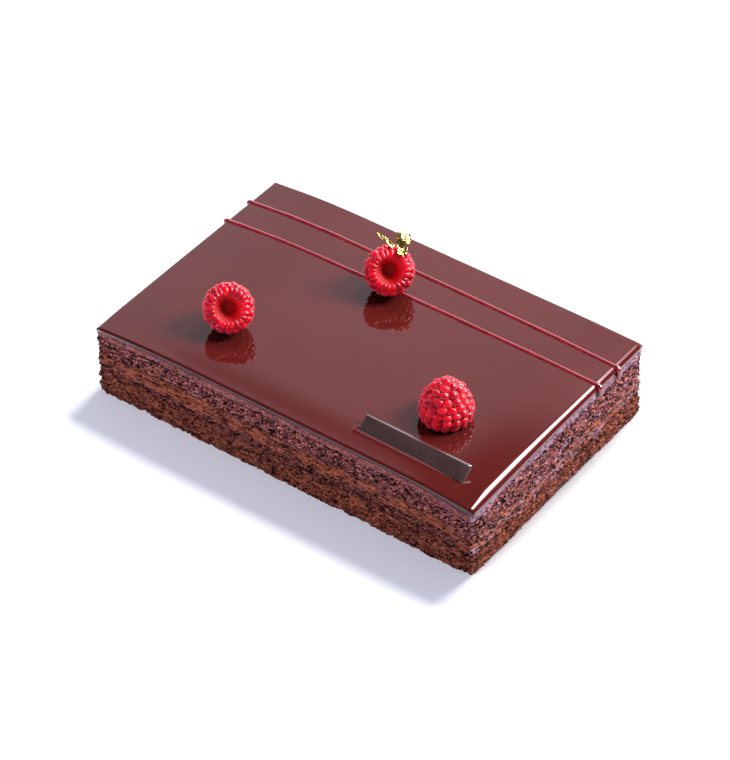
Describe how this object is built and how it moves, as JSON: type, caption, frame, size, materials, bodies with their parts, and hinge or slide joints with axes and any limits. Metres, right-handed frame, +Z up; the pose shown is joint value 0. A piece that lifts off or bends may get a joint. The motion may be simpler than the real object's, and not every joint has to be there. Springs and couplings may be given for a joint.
{
  "type": "entremet",
  "caption": "Rectangular layered chocolate and raspberry entremet with a mirror glaze, raspberries, a chocolate plaque and gold leaf on top.",
  "frame": {"origin": "centre of the cake's underside", "axes": "+X along the long side, -Y out of the long cut side that the picture shows, +Z up"},
  "size_m": [0.1926, 0.1226, 0.0637],
  "materials": {
    "brown_sponge": "crumbly sponge",
    "cocoa_sponge": "crumbly cocoa sponge",
    "ganache": "satin ganache",
    "mirror_glaze": "mirror gloss",
    "dark_chocolate": "satin tempered chocolate",
    "raspberry": "moist fruit with fine hairs",
    "gold_leaf": "crumpled gold leaf"
  },
  "bodies": {
    "root": {"base_sponge": "brown_sponge", "lower_sponge": "cocoa_sponge", "middle_ganache": "ganache", "upper_sponge": "cocoa_sponge", "top_ganache": "ganache", "glaze": "mirror_glaze", "plaque": "dark_chocolate", "raspberry_left": "raspberry", "raspberry_middle": "raspberry", "raspberry_right": "raspberry", "gold_flake": "gold_leaf", "gold_sliver": "gold_leaf"}
  },
  "joints": []
}
